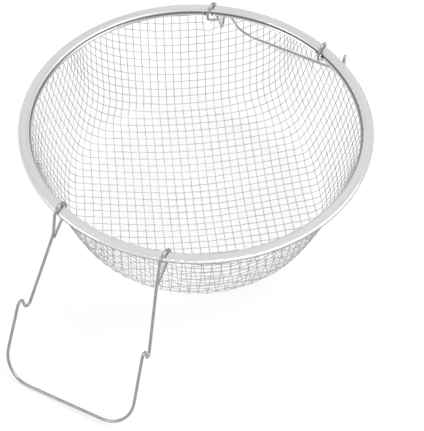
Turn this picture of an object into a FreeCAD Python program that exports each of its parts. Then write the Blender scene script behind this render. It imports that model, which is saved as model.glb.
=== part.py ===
import FreeCAD, Part
import math
import os
import Sketcher

# Deep fryer basket: a round bowl of woven steel wire cloth, a rolled rim band round its mouth
# and two wire handles hooked over the rim, facing each other across the bowl.
# Origin: middle of the bowl, on the surface that the basket stands on. +Z up, the front handle
# towards -Y, the rear handle towards +Y. Millimetres and degrees.
os.makedirs("parts", exist_ok=True)
doc = FreeCAD.newDocument("fryer_basket")

# Driving dimensions
sizes = doc.addObject("Spreadsheet::Sheet", "Sizes")
driving_dimensions = [
    ("bowl_height", 94.2, "rim top above the table"),
    ("cloth_thickness", 1.6, "two crossing wires of the cloth"),
    ("foot_flat_radius", 8.0, "pressed flat in the middle of the dish"),
    ("dish_blend_radius", 110.0, "bend from the flat into the dish"),
    ("dish_inner_slope", 8.0, "slope of the dish past that bend"),
    ("dish_radius", 960.0, "very shallow curve of the dish"),
    ("dish_inset", 35.5, "rim's outside in to where the dish turns up into the wall"),
    ("corner_radius", 12.0, "bend from dish to wall"),
    ("wall_foot_slope", 69.5, "slope of the wall at its foot"),
    ("wall_radius", 328.0, "upward curve of the wall"),
    ("flare_radius", 6.5, "edge of the cloth turned out under the rim"),
    ("flare_height", 4.3, "height of that turned edge"),
    ("net_pitch", 30.0, "spacing of the bars that stand for the cloth"),
    ("net_bar_width", 2.4, "width of one bar"),
    ("net_angle", 34.4, "direction of the cloth's wires"),
    ("hem_height", 5.2, "closed hem under the rim"),
    ("rim_outer_radius", 125.0, "outside of the rim band"),
    ("rim_width", 7.7, "radial width of the rim band"),
    ("rim_height", 3.0, "height of the rim band"),
    ("rim_outer_edge", 1.3, "rounding of its outer edge, above and below"),
    ("rim_inner_edge", 1.2, "rounding of its upper inner edge"),
    ("rim_seam_edge", 0.3, "rounding of its lower inner edge"),
    ("handle_wire", 2.0, "diameter of the handle wire"),
    ("hook_drop", 2.5, "hinge axis below the middle of the band"),
    ("hook_clearance", 0.35, "running gap between hook and band"),
    ("hook_tail", 19.0, "hinge axis to the end of the hook's tail"),
    ("front_hook_angle", 19.0, "half the angle between the front hooks"),
    ("rear_hook_angle", 23.0, "half the angle between the rear hooks"),
    ("leg_bend_place", 16.0, "hinge axis to the bend under the hook"),
    ("handle_turn", 3.1, "how far each handle is set askew, anticlockwise from above"),
    ("kink_place", 72.0, "hinge axis to the foot of the pot rest"),
    ("kink_rise", 14.8, "how far the pot rest climbs back"),
    ("kink_depth", 15.0, "how far the pot rest stands out"),
    ("kink_foot_bend", 3.0, "bend at the foot of the pot rest"),
    ("kink_top_bend", 2.6, "bend at the top of the pot rest"),
    ("front_kink_half_width", 46.6, "middle of the handle to its pot rest"),
    ("rear_kink_half_width", 54.5, "the same on the rear handle"),
    ("grip_half_width", 49.3, "middle of the handle to its grip corner"),
    ("grip_place", 118.6, "hinge axis to the grip bar"),
    ("grip_depth", 9.6, "grip bar in front of the legs' plane"),
    ("grip_corner_radius", 20.0, "bend at each end of the grip bar"),
    ("leg_bend_radius", 10.0, "bend under the hook"),
    ("leg_depth", 0.6, "legs in front of the hinge axis"),
    ("tail_spacing", 2.1, "leg to tail, measured between the wires' middles"),
    ("slot_width", 3.2, "opening in the cloth that a hook passes"),
    ("slot_height", 9.7, "height of that opening, which reaches up to the rim"),
    ("slot_top", 1.1, "top of that opening above the hinge axis"),
]
for row, (alias, value, note) in enumerate(driving_dimensions, start=1):
    sizes.set("A%d" % row, note)
    sizes.set("B%d" % row, str(value))
    sizes.setAlias("B%d" % row, alias)
doc.recompute()


def size(alias):
    return float(sizes.get(alias))


def point(radius, height):
    return FreeCAD.Vector(radius, 0, height)


# Profile of the cloth's middle surface, as tangent arcs from the centre to the rim
def profile_arcs():
    """Return arcs as (radius, height, slope, bend radius, end slope), slopes in radians."""
    arcs = []
    radius = size("foot_flat_radius")
    height = size("cloth_thickness") / 2
    slope = 0.0

    def bend(bend_radius, end_slope):
        nonlocal radius, height, slope
        arcs.append((radius, height, slope, bend_radius, end_slope))
        radius += bend_radius * (math.sin(end_slope) - math.sin(slope))
        height -= bend_radius * (math.cos(end_slope) - math.cos(slope))
        slope = end_slope

    bend(size("dish_blend_radius"), math.radians(size("dish_inner_slope")))
    corner_start = size("rim_outer_radius") - size("dish_inset")
    dish_end = math.sin(slope) + (corner_start - radius) / size("dish_radius")
    bend(size("dish_radius"), math.asin(dish_end))
    bend(size("corner_radius"), math.radians(size("wall_foot_slope")))
    flare_start = rim_underside() - size("flare_height")
    wall_end = math.cos(slope) - (flare_start - height) / size("wall_radius")
    bend(size("wall_radius"), math.acos(wall_end))
    flare_end = math.cos(slope) + size("flare_height") / size("flare_radius")
    bend(-size("flare_radius"), math.acos(flare_end))
    return arcs


def rim_underside():
    return size("bowl_height") - size("rim_height")


def arc_point(arc, share, offset):
    """Point on one arc, moved by offset along the outward normal of the cloth."""
    radius, height, slope, bend_radius, end_slope = arc
    here = slope + share * (end_slope - slope)
    along = bend_radius * (math.sin(here) - math.sin(slope))
    rise = bend_radius * (math.cos(slope) - math.cos(here))
    return point(radius + along + offset * math.sin(here), height + rise - offset * math.cos(here))


def arc_edge(arc, offset):
    start = arc_point(arc, 0, offset)
    middle = arc_point(arc, 0.5, offset)
    end = arc_point(arc, 1, offset)
    return Part.Arc(start, middle, end).toShape()


# Cloth as a net of equal meshes draped over the bowl. Each crossing lies one pitch from the
# crossings before it, so the meshes are square in the dish and shear into diamonds on the wall.
class Surface:
    """The bowl's middle surface as a function of the length along its profile."""

    def __init__(self):
        self.arcs = profile_arcs()[:-1]
        self.starts = []
        length = size("foot_flat_radius")
        for arc in self.arcs:
            self.starts.append(length)
            length += arc[3] * (arc[4] - arc[2])
        self.length = length

    def at(self, length):
        """Radius, height and slope. Past the rim the wall's own curve goes on."""
        if length <= self.starts[0]:
            return length, self.arcs[0][1], 0.0
        index = max(i for i, start in enumerate(self.starts) if start <= length)
        radius, height, slope, bend_radius, end_slope = self.arcs[index]
        here = slope + (length - self.starts[index]) / bend_radius
        radius += bend_radius * (math.sin(here) - math.sin(slope))
        height += bend_radius * (math.cos(slope) - math.cos(here))
        return radius, height, here

    def place(self, length, turn):
        radius, height, slope = self.at(length)
        return FreeCAD.Vector(radius * math.cos(turn), radius * math.sin(turn), height)

    def normal(self, length, turn):
        slope = self.at(length)[2]
        out = math.sin(slope)
        return FreeCAD.Vector(out * math.cos(turn), out * math.sin(turn), -math.cos(slope))


def drape(surface, pitch, count):
    """Crossings of one quadrant of the net as (length, turn), by two-circle steps."""
    net = {(0, 0): (0.0, 0.0)}
    for i in range(1, count + 1):
        net[i, 0] = (i * pitch, 0.0)
        net[0, i] = (i * pitch, math.pi / 2)
    for i in range(1, count + 1):
        for j in range(1, i + 1):
            if (i - 1, j) not in net or (i, j - 1) not in net:
                break
            found = next_crossing(surface, pitch, net[i - 1, j], net[i, j - 1], net[i - 1, j - 1])
            if found is None:
                break
            net[i, j] = found
            net[j, i] = (found[0], math.pi / 2 - found[1])
    return net


def next_crossing(surface, pitch, left, right, before):
    """The point one pitch from left and from right, found by Newton steps from a guess."""
    a = surface.place(*left)
    b = surface.place(*right)
    length = left[0] + right[0] - before[0]
    flat = a + b - surface.place(*before)
    turn = math.atan2(flat.y, flat.x)
    for step in range(30):
        radius, height, slope = surface.at(length)
        here = surface.place(length, turn)
        along = FreeCAD.Vector(math.cos(slope) * math.cos(turn),
                               math.cos(slope) * math.sin(turn), math.sin(slope))
        around = FreeCAD.Vector(-here.y, here.x, 0)
        to_a = here - a
        to_b = here - b
        miss_a = to_a.dot(to_a) - pitch ** 2
        miss_b = to_b.dot(to_b) - pitch ** 2
        matrix = (2 * to_a.dot(along), 2 * to_a.dot(around), 2 * to_b.dot(along), 2 * to_b.dot(around))
        determinant = matrix[0] * matrix[3] - matrix[1] * matrix[2]
        if abs(determinant) < 1e-6:
            return None
        move_length = (miss_b * matrix[1] - miss_a * matrix[3]) / determinant
        move_turn = (miss_a * matrix[2] - miss_b * matrix[0]) / determinant
        largest = max(abs(move_length), abs(move_turn) * radius)
        if largest > pitch / 3:
            move_length *= pitch / 3 / largest
            move_turn *= pitch / 3 / largest
        length += move_length
        turn += move_turn
        if largest < 1e-6:
            return (length, turn)
    return None


def whole_net(quadrant):
    """Mirror one quadrant into all four."""
    net = {}
    for (i, j), (length, turn) in quadrant.items():
        net[i, j] = (length, turn)
        net[-i, j] = (length, math.pi - turn)
        net[-i, -j] = (length, math.pi + turn)
        net[i, -j] = (length, -turn)
    return net


def cell_outline(surface, net, i, j, steps):
    """Boundary of one mesh of the coarse net, with more points where the cloth is bent."""
    corners = [(i, j), (i + steps, j), (i + steps, j + steps), (i, j + steps)]
    outline = []
    for k in range(4):
        here = corners[k]
        after = corners[(k + 1) % 4]
        turned = abs(surface.at(net[here][0])[2] - surface.at(net[after][0])[2])
        outline.append(net[here])
        if turned > math.radians(20):
            for step in range(1, steps):
                between = (here[0] + (after[0] - here[0]) * step // steps,
                           here[1] + (after[1] - here[1]) * step // steps)
                outline.append(net[between])
    return outline


def cell_cutter(surface, outline, inset, depth):
    """A block through the wall, whose outline is one mesh of the net less half a bar."""
    angle = math.radians(size("net_angle"))
    places = [surface.place(length, turn + angle) for length, turn in outline]
    normals = [surface.normal(length, turn + angle) for length, turn in outline]
    count = len(places)
    centre = sum(places, FreeCAD.Vector()) * (1 / count)
    inwards = []
    for k in range(count):
        after = (k + 1) % count
        inward = (normals[k] + normals[after]).cross(places[after] - places[k]).normalize()
        inwards.append(inward if inward.dot(centre - places[k]) > 0 else -inward)
    moved = []
    for k in range(count):
        mitre = inwards[k - 1] + inwards[k]
        moved.append(places[k] + mitre * (inset / (1 + inwards[k - 1].dot(inwards[k]))))
    outer = [p + n * depth for p, n in zip(moved, normals)]
    inner = [p - n * depth for p, n in zip(moved, normals)]
    outer_middle = sum(outer, FreeCAD.Vector()) * (1 / count)
    inner_middle = sum(inner, FreeCAD.Vector()) * (1 / count)
    faces = []

    def triangle(a, b, c):
        faces.append(Part.Face(Part.makePolygon([a, b, c, a])))

    for k in range(count):
        after = (k + 1) % count
        triangle(outer[k], outer[after], outer_middle)
        triangle(inner[after], inner[k], inner_middle)
        triangle(outer[k], inner[k], inner[after])
        triangle(outer[k], inner[after], outer[after])
    solid = Part.Solid(Part.Shell(faces))
    if solid.Volume < 0:
        solid.reverse()
    return solid


def mesh_cutters():
    """One cutter for each mesh of the coarse net that reaches below the hem."""
    surface = Surface()
    steps = 4
    pitch = size("net_pitch") / steps
    count = int(surface.length / pitch) + 3 * steps
    net = whole_net(drape(surface, pitch, count))
    depth = size("corner_radius") * 0.7
    top = size("bowl_height") - size("rim_height") - size("hem_height")
    reach = size("rim_outer_radius") + depth
    below_hem = Part.makeCylinder(reach, top + depth, FreeCAD.Vector(0, 0, -depth))
    far = count // steps * steps
    cutters = []
    for i in range(-far, far, steps):
        for j in range(-far, far, steps):
            if any((i + a, j + b) not in net for a in range(steps + 1) for b in range(steps + 1)):
                continue
            outline = cell_outline(surface, net, i, j, steps)
            heights = [surface.at(length)[1] for length, turn in outline]
            if min(heights) > top - size("net_pitch") * 0.2:
                continue
            block = cell_cutter(surface, outline, size("net_bar_width") / 2, depth)
            if max(heights) > top:
                block = block.common(below_hem)
            cutters.append(block)
    print("gaps", len(cutters))
    return cutters


def feature(kind, name):
    return doc.addObject(kind, name)


def solid_feature(name, shape):
    made = feature("Part::Feature", name)
    made.Shape = shape
    return made


# Bowl of wire cloth
def cloth_section():
    """Half section of the cloth: the middle surface thickened, with the flare left long."""
    arcs = profile_arcs()
    radius, height, slope, bend_radius, end_slope = arcs[-1]
    spare = size("cloth_thickness") / size("flare_radius")
    arcs[-1] = (radius, height, slope, bend_radius, end_slope - spare)
    half = size("cloth_thickness") / 2
    centre = half
    outer = [arc_edge(arc, half) for arc in arcs]
    inner = [arc_edge(arc, -half) for arc in arcs]
    foot = size("foot_flat_radius")
    edges = [Part.LineSegment(point(0, centre - half), point(foot, centre - half)).toShape()]
    edges += outer
    top = Part.LineSegment(arc_point(arcs[-1], 1, half), arc_point(arcs[-1], 1, -half))
    edges.append(top.toShape())
    edges += inner
    edges.append(Part.LineSegment(point(foot, centre + half), point(0, centre + half)).toShape())
    edges.append(Part.LineSegment(point(0, centre + half), point(0, centre - half)).toShape())
    return Part.Face(Part.Wire(Part.__sortEdges__(edges)))


def make_mesh_bowl():
    section = solid_feature("cloth_section", cloth_section())
    blank = feature("Part::Revolution", "cloth_blank")
    blank.Source = section
    blank.Axis = FreeCAD.Vector(0, 0, 1)
    blank.Angle = 360
    blank.Solid = True
    below_rim = feature("Part::Cylinder", "below_rim")
    below_rim.setExpression("Radius", "Sizes.rim_outer_radius")
    below_rim.setExpression("Height", "Sizes.bowl_height - Sizes.rim_height")
    trimmed = feature("Part::Common", "cloth_trimmed")
    trimmed.Base = blank
    trimmed.Tool = below_rim
    meshes = solid_feature("meshes", Part.makeCompound(mesh_cutters()))
    net = feature("Part::Cut", "cloth_net")
    net.Base = trimmed
    net.Tool = meshes
    slots = feature("Part::MultiFuse", "hook_slots")
    slots.Shapes = [hook_slot(name, side, hook_side)
                    for name, side in (("front", -1), ("rear", 1)) for hook_side in (-1, 1)]
    bowl = feature("Part::Cut", "mesh_bowl")
    bowl.Base = net
    bowl.Tool = slots
    bowl.Label = "mesh_bowl"
    return bowl


def hook_slot(name, side, hook_side):
    """Opening in the cloth for one hook, from just under the rim to the folded leg's height."""
    slot = feature("Part::Box", "%s_slot_%s" % (name, "left" if hook_side < 0 else "right"))
    hinge = "(Sizes.rim_outer_radius - Sizes.rim_width / 2)"
    across = "%s * sin(Sizes.%s_hook_angle * 1 deg)" % (hinge, name)
    slot.setExpression("Length", "Sizes.slot_width")
    slot.setExpression("Width", "Sizes.rim_width * 3")
    slot.setExpression("Height", "Sizes.slot_height")
    slot.setExpression("Placement.Base.x", "%d * %s - Sizes.slot_width / 2" % (hook_side, across))
    far = "(%s * cos(Sizes.%s_hook_angle * 1 deg))" % (hinge, name)
    slot.setExpression("Placement.Base.y", "%d * %s - Sizes.rim_width * 1.5" % (side, far))
    slot.setExpression("Placement.Base.z", "Sizes.bowl_height - Sizes.rim_height / 2"
                       " - Sizes.hook_drop + Sizes.slot_top - Sizes.slot_height")
    return slot


# Rim band: steel strip rolled flat round the edge of the cloth
def make_rim_band():
    body = feature("PartDesign::Body", "rim_band")
    body.Label = "rim_band"
    sketch = body.newObject("Sketcher::SketchObject", "rim_section")
    plane = [o for o in body.Origin.OriginFeatures if o.Role == "XZ_Plane"][0]
    sketch.AttachmentSupport = (plane, "")
    sketch.MapMode = "FlatFace"
    inside = size("rim_outer_radius") - size("rim_width")
    outside = size("rim_outer_radius")
    bottom = rim_underside()
    top = size("bowl_height")
    corners = [(inside, bottom, "rim_seam_edge"), (outside, bottom, "rim_outer_edge"),
               (outside, top, "rim_outer_edge"), (inside, top, "rim_inner_edge")]
    steps = [(1, 0), (0, 1), (-1, 0), (0, -1)]
    lines = []
    for k in range(4):
        x, y, edge = corners[k]
        next_x, next_y, next_edge = corners[(k + 1) % 4]
        dx, dy = steps[k]
        start = FreeCAD.Vector(x + dx * size(edge), y + dy * size(edge), 0)
        end = FreeCAD.Vector(next_x - dx * size(next_edge), next_y - dy * size(next_edge), 0)
        lines.append(sketch.addGeometry(Part.LineSegment(start, end), False))
    arcs = []
    for k in range(4):
        x, y, edge = corners[k]
        before = steps[k - 1]
        after = steps[k]
        centre = FreeCAD.Vector(x + (after[0] - before[0]) * size(edge),
                                y + (after[1] - before[1]) * size(edge), 0)
        circle = Part.Circle(centre, FreeCAD.Vector(0, 0, 1), size(edge))
        start_angle = math.radians(180 + 90 * k)
        arc = Part.ArcOfCircle(circle, start_angle, start_angle + math.pi / 2)
        arcs.append(sketch.addGeometry(arc, False))
    for k in range(4):
        sketch.addConstraint(Sketcher.Constraint("Tangent", lines[k - 1], 2, arcs[k], 1))
        sketch.addConstraint(Sketcher.Constraint("Tangent", arcs[k], 2, lines[k], 1))
        sketch.addConstraint(Sketcher.Constraint("Vertical" if k % 2 else "Horizontal", lines[k]))

    def dimension(name, constraint, expression):
        index = sketch.addConstraint(constraint)
        sketch.renameConstraint(index, name)
        sketch.setExpression("Constraints." + name, expression)

    for k in range(4):
        edge = corners[k][2]
        dimension("corner_%d" % k, Sketcher.Constraint("Radius", arcs[k], size(edge)), "Sizes." + edge)
    dimension("outside", Sketcher.Constraint("DistanceX", -1, 1, lines[1], 1, outside),
              "Sizes.rim_outer_radius")
    dimension("inside", Sketcher.Constraint("DistanceX", -1, 1, lines[3], 1, inside),
              "Sizes.rim_outer_radius - Sizes.rim_width")
    dimension("top", Sketcher.Constraint("DistanceY", -1, 1, lines[2], 1, top), "Sizes.bowl_height")
    dimension("bottom", Sketcher.Constraint("DistanceY", -1, 1, lines[0], 1, bottom),
              "Sizes.bowl_height - Sizes.rim_height")
    ring = body.newObject("PartDesign::Revolution", "rim_ring")
    ring.Profile = sketch
    ring.ReferenceAxis = (sketch, ["V_Axis"])
    ring.Angle = 360
    return body


# Handles: one wire each, bent into two hooks, two legs with a pot rest and a grip
def hinge_radius():
    return size("rim_outer_radius") - size("rim_width") / 2


def eye_radius(name):
    """Hook radius about the hinge axis: it clears the band at every angle of the handle."""
    half = size("rim_width") / 2 / math.cos(math.radians(size(name + "_hook_angle")))
    inner = math.hypot(half - size("rim_inner_edge"),
                       size("rim_height") / 2 - size("rim_inner_edge") + size("hook_drop"))
    outer = math.hypot(half - size("rim_outer_edge"),
                       size("rim_height") / 2 - size("rim_outer_edge") + size("hook_drop"))
    reach = max(inner + size("rim_inner_edge"), outer + size("rim_outer_edge"))
    return reach + size("hook_clearance") + size("handle_wire") / 2


def rest_angle():
    """Angle of the legs below level with the lower corner of the grip on the table."""
    hinge_height = size("bowl_height") - size("rim_height") / 2 - size("hook_drop")
    drop = hinge_height - size("handle_wire") / 2
    turn = math.radians(size("handle_turn"))
    bend = size("grip_corner_radius")
    lowest = (size("grip_place") - bend) * math.cos(turn) + bend
    lowest += (size("grip_half_width") - bend) * math.sin(turn)
    reach = math.hypot(lowest, size("grip_depth"))
    return math.asin(drop / reach) + math.atan2(size("grip_depth"), lowest)


def bend_arc(before, corner, after, radius):
    """Arc of the given radius that rounds the corner between two straight runs."""
    to_before = (before - corner).normalize()
    to_after = (after - corner).normalize()
    half = to_before.getAngle(to_after) / 2
    middle = (to_before + to_after).normalize()
    centre = corner + middle * (radius / math.sin(half))
    reach = radius / math.tan(half)
    return [corner + to_before * reach, centre - middle * radius, corner + to_after * reach]


def handle_path(name):
    """Centre line from one hook's tail to the other's. X along the hinge, Y down the legs."""
    hook_half = hinge_radius() * math.sin(math.radians(size(name + "_hook_angle")))
    kink_half = size(name + "_kink_half_width")
    eye = eye_radius(name)
    leg_depth = size("leg_depth")
    leg_bend = FreeCAD.Vector(hook_half, size("leg_bend_place"), leg_depth)
    tail_end = FreeCAD.Vector(hook_half, size("hook_tail"), leg_depth - size("tail_spacing"))

    def tangent(target, side):
        turn = math.atan2(target.z, target.y)
        turn += side * math.acos(eye / math.hypot(target.y, target.z))
        return turn

    def on_eye(turn):
        return FreeCAD.Vector(hook_half, eye * math.cos(turn), eye * math.sin(turn))

    leg_turn = tangent(leg_bend, 1)
    tail_turn = tangent(tail_end, -1) + 2 * math.pi
    eye_arc = [on_eye(tail_turn), on_eye((leg_turn + tail_turn) / 2), on_eye(leg_turn)]
    kink_foot = FreeCAD.Vector(kink_half, size("kink_place"), leg_depth)
    kink_top = FreeCAD.Vector(kink_half, size("kink_place") - size("kink_rise"), size("kink_depth"))
    grip_corner = FreeCAD.Vector(size("grip_half_width"), size("grip_place"), size("grip_depth"))
    radii = [size(bend) for bend in ("leg_bend_radius", "kink_foot_bend", "kink_top_bend",
                                     "grip_corner_radius")]

    def on_side(place, hand):
        return FreeCAD.Vector(hand * place.x, place.y, place.z)

    def turned(place, hand):
        side_place = on_side(place, hand)
        lean = FreeCAD.Rotation(FreeCAD.Vector(0, 0, 1), size("handle_turn"))
        return lean.multVec(side_place)

    corners = {}
    for hand in (1, -1):
        corners[hand] = [on_side(eye_arc[2], hand), on_side(leg_bend, hand)]
        corners[hand] += [turned(place, hand) for place in (kink_foot, kink_top, grip_corner)]
    arcs = {}
    for hand in (1, -1):
        run = corners[hand] + [corners[-hand][-1]]
        arcs[hand] = [[on_side(place, hand) for place in eye_arc]]
        for k, radius in enumerate(radii, start=1):
            arcs[hand].append(bend_arc(run[k - 1], run[k], run[k + 1], radius))
    edges = []
    here = tail_end
    for arc in arcs[1] + [arc[::-1] for arc in reversed(arcs[-1])]:
        edges.append(Part.LineSegment(here, arc[0]).toShape())
        edges.append(Part.Arc(*arc).toShape())
        here = arc[2]
    edges.append(Part.LineSegment(here, on_side(tail_end, -1)).toShape())
    return Part.Wire(edges)


def make_handle(name, side):
    """Sweep the wire, then hang it on its hinge axis. side is -1 in front and 1 at the rear."""
    path = solid_feature(name + "_centre_line", handle_path(name))
    section = feature("Part::Circle", name + "_wire_section")
    section.setExpression("Radius", "Sizes.handle_wire / 2")
    first = path.Shape.Edges[0]
    section.Placement = FreeCAD.Placement(
        first.Vertexes[0].Point,
        FreeCAD.Rotation(FreeCAD.Vector(0, 0, 1), first.Vertexes[1].Point - first.Vertexes[0].Point))
    handle = feature("Part::Sweep", name + "_handle")
    handle.Sections = [section]
    handle.Spine = (path, [])
    handle.Solid = True
    handle.Frenet = False
    angle = rest_angle()
    hinge_place = hinge_radius() * math.cos(math.radians(size(name + "_hook_angle")))
    hinge_height = size("bowl_height") - size("rim_height") / 2 - size("hook_drop")
    legs = FreeCAD.Vector(0, side * math.cos(angle), -math.sin(angle))
    front = FreeCAD.Vector(0, side * math.sin(angle), math.cos(angle))
    along = legs.cross(front)
    handle.Placement = FreeCAD.Placement(FreeCAD.Vector(0, side * hinge_place, hinge_height),
                                         FreeCAD.Rotation(along, legs, front, "ZXY"))
    handle.Label = name + "_handle"
    print(name, "hinge y", side * hinge_place, "z", hinge_height, "legs down", math.degrees(angle),
          "eye", eye_radius(name))
    return handle


nodes = [make_mesh_bowl(), make_rim_band(), make_handle("front", -1), make_handle("rear", 1)]
doc.recompute()
for made in doc.Objects:
    if "Invalid" in made.State or "Error" in made.State:
        raise RuntimeError("%s did not build: %s" % (made.Name, made.State))
for node in nodes:
    if node.Shape.isNull() or not node.Shape.isValid():
        raise RuntimeError(node.Label + " is not a valid solid")
    print(node.Label, len(node.Shape.Solids), round(node.Shape.Volume, 1), node.Shape.BoundBox)
    node.Shape.exportStep("parts/%s.step" % node.Label)
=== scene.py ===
import math

import bmesh
import bpy
from bpy.props import FloatProperty, FloatVectorProperty, IntProperty, PointerProperty
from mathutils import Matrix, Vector


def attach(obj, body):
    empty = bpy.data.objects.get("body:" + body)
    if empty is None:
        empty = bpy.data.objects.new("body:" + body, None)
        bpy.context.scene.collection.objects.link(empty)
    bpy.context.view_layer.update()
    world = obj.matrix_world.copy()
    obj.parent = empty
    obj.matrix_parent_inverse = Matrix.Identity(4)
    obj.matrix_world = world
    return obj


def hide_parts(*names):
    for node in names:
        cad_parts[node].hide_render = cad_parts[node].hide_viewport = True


bl_info = {
    "name": "Fryer Basket",
    "version": (1, 0, 0),
    "blender": (4, 5, 0),
    "location": "3D View > Sidebar > Fryer Basket",
    "description": "Woven wire bowl, rolled rim and swinging wire handles of a fryer basket",
    "category": "Add Mesh",
}

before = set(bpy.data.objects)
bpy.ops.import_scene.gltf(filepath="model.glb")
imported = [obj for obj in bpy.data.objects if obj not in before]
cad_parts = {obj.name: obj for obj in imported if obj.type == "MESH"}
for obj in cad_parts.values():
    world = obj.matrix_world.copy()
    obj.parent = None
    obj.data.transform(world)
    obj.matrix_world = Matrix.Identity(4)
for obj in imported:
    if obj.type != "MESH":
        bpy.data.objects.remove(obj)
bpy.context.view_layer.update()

MM = 0.001

# Profile of the cloth's middle surface: it leaves the flat foot as arcs, each tangent to the last.
# Each bend is its radius in mm and where it ends: at a slope in degrees, a radius or a height.
FOOT_RADIUS = 8.0
FOOT_HEIGHT = 0.8
BENDS = (
    (110.0, "slope", 8.0),
    (960.0, "radius", 89.5),
    (12.0, "slope", 69.5),
    (328.0, "height", 86.9),
    (-6.5, "height", 91.2),
)
RIM_UNDERSIDE = 91.2
RIM_OUTSIDE = 125.0
RIM_WIDTH = 7.7
RIM_HEIGHT = 3.0

CLOTH_TOP = RIM_UNDERSIDE - 0.001
TUCKED_IN = 0.5

# Share of its colour that the rolled strip keeps: on the hem below the band, then up the band's
# height, dark along its lower edge with painted shade and a painted dark reflection
PAINTED_SHADE_STOPS = ((0.0, 0.85), (0.06, 0.32), (0.5, 0.32), (0.66, 1.0))

# Where the hooks pass through the cloth: side of the basket and degrees from its middle, then the
# opening in mm, with half its width, half its straight length and how far around it wires give way
HINGE_RADIUS = RIM_OUTSIDE - RIM_WIDTH / 2
HOOK_ANGLES = ((-1, 19.0), (1, 23.0))
HOOK_HOLE_HEIGHT = 87.0
HOOK_HOLE_WIDTH = 1.9
HOOK_HOLE_REACH = 4.4
HOOK_HOLE_SPREAD = 12.0
HOOK_HOLE_SPARE = 0.3

# Hem: turn from one section to the next, and gap to the cloth in mm
HEM_STEP = math.radians(2.0)
HEM_GAP = 0.02

# Share of the floor that is plain white to the eye and in the steel; the rest keeps the shadow
FLOOR_GLOW_SEEN = 0.65

# Square lamps: place and side, in metres
KEY_LAMP = ((0.75, 0.45, 1.35), 0.9)
FILL_LAMP = ((-0.9, -1.0, 1.0), 0.8)

CAMERA_PLACE = (0.22887, -0.42957, 0.5968)
CAMERA_TURN = (38.4827, -1.2094, 28.0209)
CAMERA_LENS = 82.39


class ClothSizes(bpy.types.PropertyGroup):
    """Sizes and finish of the woven wire cloth."""

    wire: FloatProperty(name="Wire", description="Diameter of one wire of the cloth",
                        default=0.55 * MM, min=0.3 * MM, max=1.2 * MM, unit="LENGTH")
    spacing: FloatProperty(name="Spacing", description="Distance from wire to wire",
                           default=6.525 * MM, min=4 * MM, max=12 * MM, unit="LENGTH")
    direction: FloatProperty(name="Direction", description="Turn of the cloth about the bowl's axis",
                             default=math.radians(34.4), subtype="ANGLE", unit="ROTATION")
    first_shift: FloatProperty(name="First shift", description="Place of the first wires, in spacings",
                               default=0.782, min=0.0, max=1.0)
    second_shift: FloatProperty(name="Second shift", description="Place of the second wires, in spacings",
                                default=0.626, min=0.0, max=1.0)
    sides: IntProperty(name="Sides", description="Roundness of each wire", default=1, min=0, max=3)
    colour: FloatVectorProperty(name="Colour", description="Colour of the cloth's steel",
                                subtype="COLOR", size=3, min=0, max=1, default=(0.53, 0.53, 0.52))
    roughness: FloatProperty(name="Roughness", description="Dullness of the cloth's wires",
                             default=0.36, min=0.0, max=1.0, subtype="FACTOR")


class RimSizes(bpy.types.PropertyGroup):
    """Finish of the rim band and sizes of the hem below it."""

    hem: FloatProperty(name="Hem", description="Height of the folded hem below the band",
                       default=1.9 * MM, min=0.5 * MM, max=4 * MM, unit="LENGTH")
    hem_sheet: FloatProperty(name="Hem sheet", description="Thickness of the hem's sheet",
                             default=0.4 * MM, min=0.2 * MM, max=1 * MM, unit="LENGTH")
    colour: FloatVectorProperty(name="Colour", description="Colour of the rim's steel",
                                subtype="COLOR", size=3, min=0, max=1, default=(0.68, 0.68, 0.68))
    roughness: FloatProperty(name="Roughness", description="Dullness of the rim",
                             default=0.24, min=0.0, max=1.0, subtype="FACTOR")


class HandleLook(bpy.types.PropertyGroup):
    """Finish of the two wire handles."""

    colour: FloatVectorProperty(name="Colour", description="Colour of the handles' steel",
                                subtype="COLOR", size=3, min=0, max=1, default=(0.34, 0.34, 0.335))
    roughness: FloatProperty(name="Roughness", description="Dullness of the handles",
                             default=0.2, min=0.0, max=1.0, subtype="FACTOR")


class StageLook(bpy.types.PropertyGroup):
    """Floor, lamps and camera."""

    floor_size: FloatProperty(name="Floor", description="Side of the square floor",
                              default=6.0, min=1.0, unit="LENGTH")
    floor_colour: FloatVectorProperty(name="Floor colour", description="Colour of the floor",
                                      subtype="COLOR", size=3, min=0, max=1, default=(0.98, 0.98, 0.98))
    key_power: FloatProperty(name="Key", description="Power of the large lamp above", default=12.0)
    fill_power: FloatProperty(name="Fill", description="Power of the lamp at the side", default=5.0)
    world_level: FloatProperty(name="Surroundings", description="Brightness of the room", default=0.74)


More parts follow.
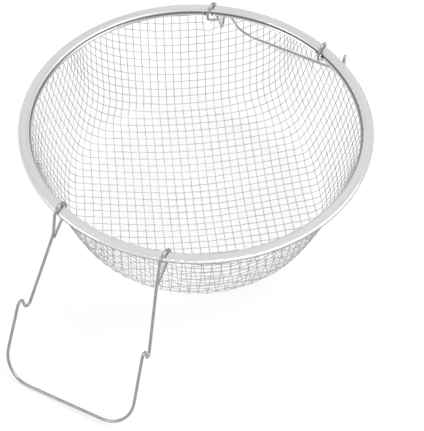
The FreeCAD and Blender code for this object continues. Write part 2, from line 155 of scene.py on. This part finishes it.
class BowlSurface:
    """The cloth's middle surface as a function of the length along its profile, in mm."""

    def __init__(self):
        self.arcs = []
        radius = FOOT_RADIUS
        height = FOOT_HEIGHT
        slope = 0.0
        length = FOOT_RADIUS
        for bend, kind, goal in BENDS:
            if kind == "slope":
                end = math.radians(goal)
            elif kind == "radius":
                end = math.asin(math.sin(slope) + (goal - radius) / bend)
            else:
                end = math.acos(math.cos(slope) - (goal - height) / bend)
            self.arcs.append((length, radius, height, slope, bend))
            radius += bend * (math.sin(end) - math.sin(slope))
            height += bend * (math.cos(slope) - math.cos(end))
            length += bend * (end - slope)
            slope = end
        self.end = (length, radius, height, slope)

    def at(self, length):
        """Radius, height and slope at a length. Past the last bend the surface runs on straight."""
        if length <= FOOT_RADIUS:
            return length, FOOT_HEIGHT, 0.0
        if length >= self.end[0]:
            past = length - self.end[0]
            slope = self.end[3]
            return self.end[1] + past * math.cos(slope), self.end[2] + past * math.sin(slope), slope
        for start, radius, height, slope, bend in reversed(self.arcs):
            if length >= start:
                here = slope + (length - start) / bend
                radius += bend * (math.sin(here) - math.sin(slope))
                height += bend * (math.cos(slope) - math.cos(here))
                return radius, height, here

    def place(self, length, turn, proud=0.0):
        """Point at a length and a turn about the axis, moved outwards by proud."""
        radius, height, slope = self.at(length)
        radius += proud * math.sin(slope)
        return Vector((radius * math.cos(turn), radius * math.sin(turn), height - proud * math.cos(slope)))

    def length_at_height(self, height):
        low = self.arcs[2][0]
        high = self.end[0]
        for step in range(40):
            middle = (low + high) / 2
            if self.at(middle)[1] < height:
                low = middle
            else:
                high = middle
        return low


class WireNet:
    """Square cloth laid over the bowl. Along each wire the spacing stays the same, so the meshes
    are square in the dish and shear into diamonds on the wall. Crossings are found one by one from
    the two before them, in one eighth of the bowl, on lines a quarter of a spacing apart."""

    FINE = 4

    def __init__(self, surface, spacing):
        self.surface = surface
        self.step = spacing / self.FINE
        self.reach = surface.end[0] + spacing
        self.nodes = {}
        self.lay()

    def lay(self):
        surface = self.surface
        step = self.step
        count = int(self.reach / step) + 1
        for i in range(count + 1):
            radius, height, slope = surface.at(i * step)
            self.nodes[i, 0] = (radius, 0.0, height, i * step)
            self.nodes[0, i] = (0.0, radius, height, i * step)
        for i in range(1, count + 1):
            for j in range(1, i + 1):
                left = self.nodes.get((i - 1, j))
                right = self.nodes.get((i, j - 1))
                if left is None or right is None:
                    break
                found = self.cross(left, right, self.nodes[i - 1, j - 1])
                if found is None or found[3] > self.reach:
                    break
                self.nodes[i, j] = found
                self.nodes[j, i] = (found[1], found[0], found[2], found[3])

    def cross(self, left, right, before):
        """The point one step from left and from right, by Newton steps from a first guess."""
        length = left[3] + right[3] - before[3]
        turn = math.atan2(left[1] + right[1] - before[1], left[0] + right[0] - before[0])
        square = self.step ** 2
        for step in range(20):
            radius, height, slope = self.surface.at(length)
            cos_turn = math.cos(turn)
            sin_turn = math.sin(turn)
            x = radius * cos_turn
            y = radius * sin_turn
            ax, ay, az = x - left[0], y - left[1], height - left[2]
            bx, by, bz = x - right[0], y - right[1], height - right[2]
            miss_a = ax * ax + ay * ay + az * az - square
            miss_b = bx * bx + by * by + bz * bz - square
            out = math.cos(slope)
            up = math.sin(slope)
            a_length = 2 * (ax * out * cos_turn + ay * out * sin_turn + az * up)
            a_turn = 2 * (ay * x - ax * y)
            b_length = 2 * (bx * out * cos_turn + by * out * sin_turn + bz * up)
            b_turn = 2 * (by * x - bx * y)
            determinant = a_length * b_turn - a_turn * b_length
            if abs(determinant) < 1e-9:
                return None
            move_length = (miss_b * a_turn - miss_a * b_turn) / determinant
            move_turn = (miss_a * b_length - miss_b * a_length) / determinant
            largest = max(abs(move_length), abs(move_turn) * radius)
            if largest > self.step:
                move_length *= self.step / largest
                move_turn *= self.step / largest
            length += move_length
            turn += move_turn
            if largest < 1e-7:
                radius, height, slope = self.surface.at(length)
                return radius * math.cos(turn), radius * math.sin(turn), height, length
        return None

    def node(self, i, j):
        found = self.nodes.get((abs(i), abs(j)))
        if found is None:
            return None
        return (found[0] * (1 if i >= 0 else -1), found[1] * (1 if j >= 0 else -1), found[2], found[3])

    def at(self, u, v):
        """Length and turn of the cloth's point (u, v), counted in spacings from the bowl's middle."""
        x = u * self.FINE
        y = v * self.FINE
        i = math.floor(x)
        j = math.floor(y)
        corners = [self.node(i, j), self.node(i + 1, j), self.node(i, j + 1), self.node(i + 1, j + 1)]
        if None in corners:
            return None
        a = x - i
        b = y - j
        shares = ((1 - a) * (1 - b), a * (1 - b), (1 - a) * b, a * b)
        point = [sum(share * corner[k] for share, corner in zip(shares, corners)) for k in range(4)]
        return point[3], math.atan2(point[1], point[0])


def hook_holes(surface):
    """Length and turn of the four places where a hook passes through the cloth."""
    holes = []
    length = surface.length_at_height(HOOK_HOLE_HEIGHT)
    radius = surface.at(length)[0]
    for side, angle in HOOK_ANGLES:
        across = HINGE_RADIUS * math.sin(math.radians(angle))
        from_side = math.asin(across / radius)
        for hand in (-1, 1):
            holes.append((length, side * math.pi / 2 + hand * from_side))
    return holes


def pushed_aside(surface, holes, length, turn):
    """Move a point of the cloth clear of the hooks, as a wire pushed through a mesh opens it."""
    for hole_length, hole_turn in holes:
        up = length - hole_length
        if abs(up) > HOOK_HOLE_SPREAD:
            continue
        radius = surface.at(length)[0]
        swing = (turn - hole_turn + math.pi) % (2 * math.pi) - math.pi
        across = swing * radius
        away = math.hypot(up, across)
        if away >= HOOK_HOLE_SPREAD or away < 1e-6:
            continue
        side = across / away
        rise = up / away
        edge = HOOK_HOLE_WIDTH / max(abs(side), 1e-6)
        if edge * abs(rise) > HOOK_HOLE_REACH:
            edge = HOOK_HOLE_REACH * abs(rise)
            edge += math.sqrt(HOOK_HOLE_WIDTH ** 2 - (HOOK_HOLE_REACH * side) ** 2)
        moved = edge + away * (1 - edge / HOOK_HOLE_SPREAD)
        length = hole_length + rise * moved
        turn = hole_turn + side * moved / surface.at(length)[0]
    return length, turn


def wire_runs(net, holes, sizes, family):
    """Centre lines of one set of wires, woven over and under the other set."""
    surface = net.surface
    fine = net.FINE
    direction = sizes.direction
    lift = sizes.wire / MM / 2
    shift, other_shift = sizes.first_shift, sizes.second_shift
    if family == 1:
        shift, other_shift = other_shift, shift
    top = surface.length_at_height(CLOTH_TOP) + TUCKED_IN
    count = int(net.reach / (net.step * fine)) + 1
    runs = []
    for k in range(-count, count):
        points = []
        for m in range(-count * fine, count * fine + 1):
            along = m / fine + other_shift
            pair = (k + shift, along) if family == 0 else (along, k + shift)
            found = net.at(*pair)
            if found is None:
                continue
            length, turn = found
            turn += direction
            length, turn = pushed_aside(surface, holes, length, turn)
            over = math.cos(math.pi * (m / fine + k + family))
            points.append((length, turn, over * lift))
        inside = [n for n, point in enumerate(points) if point[0] <= top]
        if len(inside) < 3:
            continue
        first, last = inside[0], inside[-1]
        run = []
        if first > 0:
            run.append(cut_point(points[first - 1], points[first], top))
        run += points[first:last + 1]
        if last + 1 < len(points):
            run.append(cut_point(points[last + 1], points[last], top))
        for piece in cut_at_holes(surface, holes, run):
            runs.append([surface.place(*point) for point in piece])
    return runs


def cut_at_holes(surface, holes, run):
    """Pieces of a wire that end at the edges of a hook's opening where the wire would cross it."""
    pieces = [[run[0]]]
    for here, after in zip(run, run[1:]):
        if any(crosses(surface, hole, here, after) for hole in holes):
            pieces.append([])
        pieces[-1].append(after)
    return [piece for piece in pieces if len(piece) > 1]


def crosses(surface, hole, here, after):
    """Whether two neighbouring points of a wire lie on either side of a hook's opening."""
    radius = surface.at(hole[0])[0]
    a, b = [((point[1] - hole[1] + math.pi) % (2 * math.pi) - math.pi) * radius
            for point in (here, after)]
    if a * b >= 0 or abs(a) + abs(b) > HOOK_HOLE_SPREAD:
        return False
    up = here[0] - hole[0] + (after[0] - here[0]) * a / (a - b)
    return abs(up) < HOOK_HOLE_REACH + HOOK_HOLE_WIDTH - HOOK_HOLE_SPARE


def cut_point(outside, inside, top):
    """Where a wire crosses the top length, between a point outside it and one inside."""
    share = (top - inside[0]) / (outside[0] - inside[0])
    swing = (outside[1] - inside[1] + math.pi) % (2 * math.pi) - math.pi
    proud = inside[2] + share * (outside[2] - inside[2])
    return top, inside[1] + share * swing, proud


def wires_object(name, runs, sizes):
    """One round wire along each run, made into a mesh."""
    curve = bpy.data.curves.new(name + "_lines", "CURVE")
    curve.dimensions = "3D"
    curve.bevel_depth = sizes.wire / 2
    curve.bevel_resolution = sizes.sides
    curve.use_fill_caps = True
    for run in runs:
        spline = curve.splines.new("POLY")
        spline.points.add(len(run) - 1)
        spline.points.foreach_set("co", [c for p in run for c in (p.x * MM, p.y * MM, p.z * MM, 1.0)])
    lines = bpy.data.objects.new(name + "_lines", curve)
    bpy.context.scene.collection.objects.link(lines)
    bpy.context.view_layer.update()
    mesh = bpy.data.meshes.new_from_object(lines.evaluated_get(bpy.context.evaluated_depsgraph_get()))
    bpy.data.objects.remove(lines)
    bpy.data.curves.remove(curve)
    mesh.name = name
    mesh.materials.clear()
    for polygon in mesh.polygons:
        polygon.use_smooth = True
    return add_object(name, mesh)


def add_object(name, mesh):
    made = bpy.data.objects.new(name, mesh)
    bpy.context.scene.collection.objects.link(made)
    return made


def spun_object(name, section, spans):
    """A closed section, as points (radius, height) in mm, spun about the bowl's axis in each span."""
    shape = bmesh.new()
    for start, end in spans:
        corners = [shape.verts.new((radius * math.cos(start) * MM, radius * math.sin(start) * MM,
                                    height * MM)) for radius, height in section]
        edges = [shape.edges.new((corners[k - 1], corners[k])) for k in range(len(corners))]
        bmesh.ops.spin(shape, geom=corners + edges, cent=(0, 0, 0), axis=(0, 0, 1), dvec=(0, 0, 0),
                       angle=end - start, steps=math.ceil((end - start) / HEM_STEP), use_merge=False)
    bmesh.ops.holes_fill(shape, edges=shape.edges, sides=0)
    bmesh.ops.recalc_face_normals(shape, faces=shape.faces)
    mesh = bpy.data.meshes.new(name)
    shape.to_mesh(mesh)
    shape.free()
    for polygon in mesh.polygons:
        polygon.use_smooth = True
    return add_object(name, mesh)


class Shader:
    """A node material, built up by short calls."""

    def __init__(self, name):
        self.material = bpy.data.materials.new(name)
        self.material.use_nodes = True
        self.tree = self.material.node_tree
        self.tree.nodes.clear()
        self.output = self.tree.nodes.new("ShaderNodeOutputMaterial")

    def add(self, kind, inputs=None, **settings):
        node = self.tree.nodes.new(kind)
        for key, value in settings.items():
            setattr(node, key, value)
        for key, value in (inputs or {}).items():
            if isinstance(value, bpy.types.NodeSocket):
                self.tree.links.new(value, node.inputs[key])
            else:
                node.inputs[key].default_value = value
        return node

    def maths(self, operation, first, second=0.0):
        return self.add("ShaderNodeMath", {0: first, 1: second}, operation=operation).outputs[0]

    def noise(self, vector, scale, detail=3.0, roughness=0.5, **more):
        inputs = {"Vector": vector, "Scale": scale, "Detail": detail, "Roughness": roughness}
        return self.add("ShaderNodeTexNoise", inputs, **more).outputs["Fac"]

    def ramp(self, factor, stops):
        """Colour along a factor. Each stop is (place, grey or colour)."""
        node = self.add("ShaderNodeValToRGB", {"Fac": factor})
        ramp = node.color_ramp
        while len(ramp.elements) < len(stops):
            ramp.elements.new(0.5)
        for element, (place, value) in zip(ramp.elements, stops):
            element.position = place
            colour = (value,) * 3 if isinstance(value, float) else tuple(value)
            element.color = (*colour, 1.0)
        return node.outputs["Color"]

    def object_place(self):
        return self.add("ShaderNodeTexCoord").outputs["Object"]

    def steel(self, colour, roughness, height=None, strength=0.1):
        inputs = {"Base Color": colour, "Metallic": 1.0, "Roughness": roughness}
        if height is not None:
            bump = self.add("ShaderNodeBump", {"Strength": strength, "Distance": 0.0002, "Height": height})
            inputs["Normal"] = bump.outputs["Normal"]
        shader = self.add("ShaderNodeBsdfPrincipled", inputs)
        self.tree.links.new(shader.outputs["BSDF"], self.output.inputs["Surface"])
        return self.material


def shade(colour, factor):
    return tuple(min(1.0, channel * factor) for channel in colour)


def cloth_steel(look):
    """Drawn wire, slightly dull, a little darker in patches along it."""
    shader = Shader("cloth wire steel")
    place = shader.object_place()
    patches = shader.noise(place, 90.0, 4.0, 0.6)
    colour = shader.ramp(patches, [(0.3, shade(look.colour, 0.72)), (0.55, shade(look.colour, 1.0)),
                                   (0.8, shade(look.colour, 1.25))])
    grain = shader.noise(place, 1400.0, 2.0)
    rough = shader.maths("MULTIPLY_ADD", grain, 0.2)
    rough.node.inputs[2].default_value = look.roughness - 0.1
    return shader.steel(colour, rough, grain, 0.15)


def rim_steel(look):
    """Rolled strip: fine streaks run along the band, all the way round, and painted shade darkens its
    lower edge.
    """
    shader = Shader("rolled rim steel")
    place = shader.add("ShaderNodeSeparateXYZ", {0: shader.object_place()})
    x, y, z = place.outputs
    radius = shader.maths("SQRT", shader.maths("ADD", shader.maths("MULTIPLY", x, x),
                                               shader.maths("MULTIPLY", y, y)))
    across = shader.maths("MULTIPLY", radius, 1500.0)
    around = shader.add("ShaderNodeCombineXYZ", {
        "X": shader.maths("MULTIPLY", x, 14.0), "Y": shader.maths("MULTIPLY", y, 14.0),
        "Z": shader.maths("MULTIPLY", z, 900.0)})
    streaks = shader.noise(around.outputs[0], 1.0, 3.0, 0.6, noise_dimensions="4D")
    streaks.node.inputs["W"].default_value = 0.0
    shader.tree.links.new(across, streaks.node.inputs["W"])
    colour = shader.ramp(streaks, [(0.25, shade(look.colour, 0.84)), (0.5, shade(look.colour, 1.0)),
                                   (0.75, shade(look.colour, 1.12))])
    # Painted shade and a painted dark reflection: the colour darkens along the band's lower edge, by
    # height
    up = shader.maths("MULTIPLY", shader.maths("SUBTRACT", z, RIM_UNDERSIDE * MM), 1 / (RIM_HEIGHT * MM))
    painted_shade = shader.ramp(up, PAINTED_SHADE_STOPS)
    colour_with_painted_shade = shader.add("ShaderNodeVectorMath", {0: colour, 1: painted_shade}, operation="MULTIPLY")
    rough = shader.maths("MULTIPLY_ADD", streaks, 0.16)
    rough.node.inputs[2].default_value = look.roughness - 0.08
    return shader.steel(colour_with_painted_shade.outputs[0], rough, streaks, 0.12)


def handle_steel(look):
    """Smooth drawn wire with faint draw marks."""
    shader = Shader("handle wire steel")
    place = shader.object_place()
    marks = shader.noise(place, 260.0, 5.0, 0.65)
    colour = shader.ramp(marks, [(0.3, shade(look.colour, 0.86)), (0.5, shade(look.colour, 1.0)),
                                 (0.75, shade(look.colour, 1.15))])
    rough = shader.maths("MULTIPLY_ADD", marks, 0.14)
    rough.node.inputs[2].default_value = look.roughness - 0.07
    return shader.steel(colour, rough, marks, 0.06)


class FRYERBASKET_OT_cloth(bpy.types.Operator):
    """Weave the wire cloth of the bowl from two sets of wires"""

    bl_idname = "fryer_basket.cloth"
    bl_label = "Wire cloth"

    def execute(self, context):
        sizes = context.scene.fryer_cloth
        surface = BowlSurface()
        net = WireNet(surface, sizes.spacing / MM)
        holes = hook_holes(surface)
        steel = cloth_steel(sizes)
        for family, name in enumerate(("cloth_first_wires", "cloth_second_wires")):
            wires = wires_object(name, wire_runs(net, holes, sizes, family), sizes)
            wires.data.materials.append(steel)
            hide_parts("mesh_bowl")
            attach(wires, "basket")
        return {"FINISHED"}


class FRYERBASKET_OT_hem(bpy.types.Operator):
    """Fold the steel hem that holds the edge of the cloth below the rim band"""

    bl_idname = "fryer_basket.hem"
    bl_label = "Cloth hem"

    def execute(self, context):
        sizes = context.scene.fryer_rim
        surface = BowlSurface()
        wire = context.scene.fryer_cloth.wire / MM
        sheet = sizes.hem_sheet / MM
        top = surface.length_at_height(CLOTH_TOP)
        bottom = top - sizes.hem / MM
        inner = []
        outer = []
        steps = 5
        for step in range(steps + 1):
            length = bottom + (top - bottom) * step / steps
            rounding = sheet * 0.25 if step == 0 else 0.0
            inner.append(self.section_point(surface, length, -wire - HEM_GAP - rounding))
            outer.append(self.section_point(surface, length, -wire - HEM_GAP - sheet + rounding))
        hem = spun_object("cloth_hem", inner + outer[::-1], self.spans(surface.at(bottom)[0]))
        hem.data.materials.append(bpy.data.materials["rolled rim steel"])
        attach(hem, "basket")
        return {"FINISHED"}

    @staticmethod
    def spans(radius):
        """Start and end of each stretch of hem, from one hook's notch to the next."""
        turns = []
        for side, angle in HOOK_ANGLES:
            from_side = math.asin(HINGE_RADIUS * math.sin(math.radians(angle)) / radius)
            turns += [(side * math.pi / 2 + hand * from_side) % (2 * math.pi) for hand in (-1, 1)]
        turns.sort()
        half = HOOK_HOLE_WIDTH / radius
        following = turns[1:] + [turns[0] + 2 * math.pi]
        return [(turn + half, after - half) for turn, after in zip(turns, following)]

    @staticmethod
    def section_point(surface, length, proud):
        point = surface.place(length, 0.0, proud)
        return point.x, point.z


class FRYERBASKET_OT_rim(bpy.types.Operator):
    """Finish the rolled rim band"""

    bl_idname = "fryer_basket.rim"
    bl_label = "Rim band"

    def execute(self, context):
        finish_node("rim_band", rim_steel(context.scene.fryer_rim))
        return {"FINISHED"}


class FRYERBASKET_OT_handles(bpy.types.Operator):
    """Finish the two wire handles"""

    bl_idname = "fryer_basket.handles"
    bl_label = "Wire handles"

    def execute(self, context):
        steel = handle_steel(context.scene.fryer_handles)
        for name in ("front_handle", "rear_handle"):
            finish_node(name, steel)
        return {"FINISHED"}


def finish_node(name, steel):
    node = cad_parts[name]
    node.data.materials.clear()
    node.data.materials.append(steel)
    for polygon in node.data.polygons:
        polygon.use_smooth = True


class FRYERBASKET_OT_stage(bpy.types.Operator):
    """Set up the floor, the soft lamps, the room and the camera"""

    bl_idname = "fryer_basket.stage"
    bl_label = "Stage"

    def execute(self, context):
        look = context.scene.fryer_stage
        self.floor(look)
        self.lamp("key", *KEY_LAMP, look.key_power)
        self.lamp("fill", *FILL_LAMP, look.fill_power)
        self.room(context, look)
        self.camera(context)
        context.scene.view_settings.view_transform = "Standard"
        return {"FINISHED"}

    @staticmethod
    def floor(look):
        shape = bmesh.new()
        bmesh.ops.create_grid(shape, x_segments=1, y_segments=1, size=look.floor_size / 2)
        mesh = bpy.data.meshes.new("floor")
        shape.to_mesh(mesh)
        shape.free()
        floor = add_object("floor", mesh)
        floor.location = (0, 0, -0.0002)
        shader = Shader("floor")
        surface = shader.add("ShaderNodeBsdfDiffuse", {"Color": (*look.floor_colour, 1.0)})
        glow = shader.add("ShaderNodeEmission", {"Color": (1, 1, 1, 1), "Strength": 1.0})
        ray = shader.add("ShaderNodeLightPath")
        seen = shader.maths("MAXIMUM", ray.outputs["Is Camera Ray"], ray.outputs["Is Glossy Ray"])
        seen = shader.maths("MAXIMUM", seen, ray.outputs["Is Transmission Ray"])
        share = shader.maths("MULTIPLY", seen, FLOOR_GLOW_SEEN)
        mix = shader.add("ShaderNodeMixShader", {0: share, 1: surface.outputs[0], 2: glow.outputs[0]})
        shader.tree.links.new(mix.outputs[0], shader.output.inputs["Surface"])
        mesh.materials.append(shader.material)

    @staticmethod
    def lamp(name, place, side, power):
        light = bpy.data.lights.new(name, "AREA")
        light.shape = "SQUARE"
        light.size = side
        light.energy = power
        lamp = bpy.data.objects.new(name, light)
        lamp.location = place
        aim = Vector((0, 0, 0.05)) - Vector(place)
        lamp.rotation_euler = aim.to_track_quat("-Z", "Y").to_euler()
        bpy.context.scene.collection.objects.link(lamp)

    @staticmethod
    def room(context, look):
        world = bpy.data.worlds.new("room")
        world.use_nodes = True
        nodes = world.node_tree.nodes
        links = world.node_tree.links
        background = nodes["Background"]
        background.inputs["Color"].default_value = (1, 1, 1, 1)
        ray = nodes.new("ShaderNodeLightPath")
        seen = nodes.new("ShaderNodeMath")
        seen.operation = "MAXIMUM"
        links.new(ray.outputs["Is Camera Ray"], seen.inputs[0])
        links.new(ray.outputs["Is Glossy Ray"], seen.inputs[1])
        through = nodes.new("ShaderNodeMath")
        through.operation = "MAXIMUM"
        links.new(seen.outputs[0], through.inputs[0])
        links.new(ray.outputs["Is Transmission Ray"], through.inputs[1])
        level = nodes.new("ShaderNodeMapRange")
        level.inputs["To Min"].default_value = look.world_level
        level.inputs["To Max"].default_value = 1.0
        links.new(through.outputs[0], level.inputs["Value"])
        links.new(level.outputs["Result"], background.inputs["Strength"])
        context.scene.world = world

    @staticmethod
    def camera(context):
        data = bpy.data.cameras.new("camera")
        data.sensor_fit = "VERTICAL"
        data.sensor_height = 36.0
        data.lens = CAMERA_LENS
        camera = bpy.data.objects.new("camera", data)
        camera.location = CAMERA_PLACE
        camera.rotation_euler = [math.radians(angle) for angle in CAMERA_TURN]
        context.scene.collection.objects.link(camera)
        context.scene.camera = camera


class FRYERBASKET_PT_panel(bpy.types.Panel):
    bl_idname = "FRYERBASKET_PT_panel"
    bl_label = "Fryer Basket"
    bl_space_type = "VIEW_3D"
    bl_region_type = "UI"
    bl_category = "Fryer Basket"

    def draw(self, context):
        for group, operators in PANEL_ROWS:
            box = self.layout.box()
            settings = getattr(context.scene, group)
            for name in settings.bl_rna.properties.keys():
                if name not in ("rna_type", "name"):
                    box.prop(settings, name)
            for operator in operators:
                box.operator(operator.bl_idname)


PANEL_ROWS = (
    ("fryer_rim", (FRYERBASKET_OT_rim, FRYERBASKET_OT_hem)),
    ("fryer_cloth", (FRYERBASKET_OT_cloth,)),
    ("fryer_handles", (FRYERBASKET_OT_handles,)),
    ("fryer_stage", (FRYERBASKET_OT_stage,)),
)
GROUPS = (
    ("fryer_cloth", ClothSizes),
    ("fryer_rim", RimSizes),
    ("fryer_handles", HandleLook),
    ("fryer_stage", StageLook),
)
CLASSES = (
    *(group for name, group in GROUPS),
    FRYERBASKET_OT_rim,
    FRYERBASKET_OT_hem,
    FRYERBASKET_OT_cloth,
    FRYERBASKET_OT_handles,
    FRYERBASKET_OT_stage,
    FRYERBASKET_PT_panel,
)


def register():
    for cls in CLASSES:
        bpy.utils.register_class(cls)
    for name, group in GROUPS:
        setattr(bpy.types.Scene, name, PointerProperty(type=group))


def unregister():
    for name, group in GROUPS:
        delattr(bpy.types.Scene, name)
    for cls in reversed(CLASSES):
        bpy.utils.unregister_class(cls)


def main():
    register()
    bpy.ops.fryer_basket.rim()
    bpy.ops.fryer_basket.hem()
    bpy.ops.fryer_basket.cloth()
    bpy.ops.fryer_basket.handles()
    bpy.ops.fryer_basket.stage()


if __name__ == "__main__":
    main()
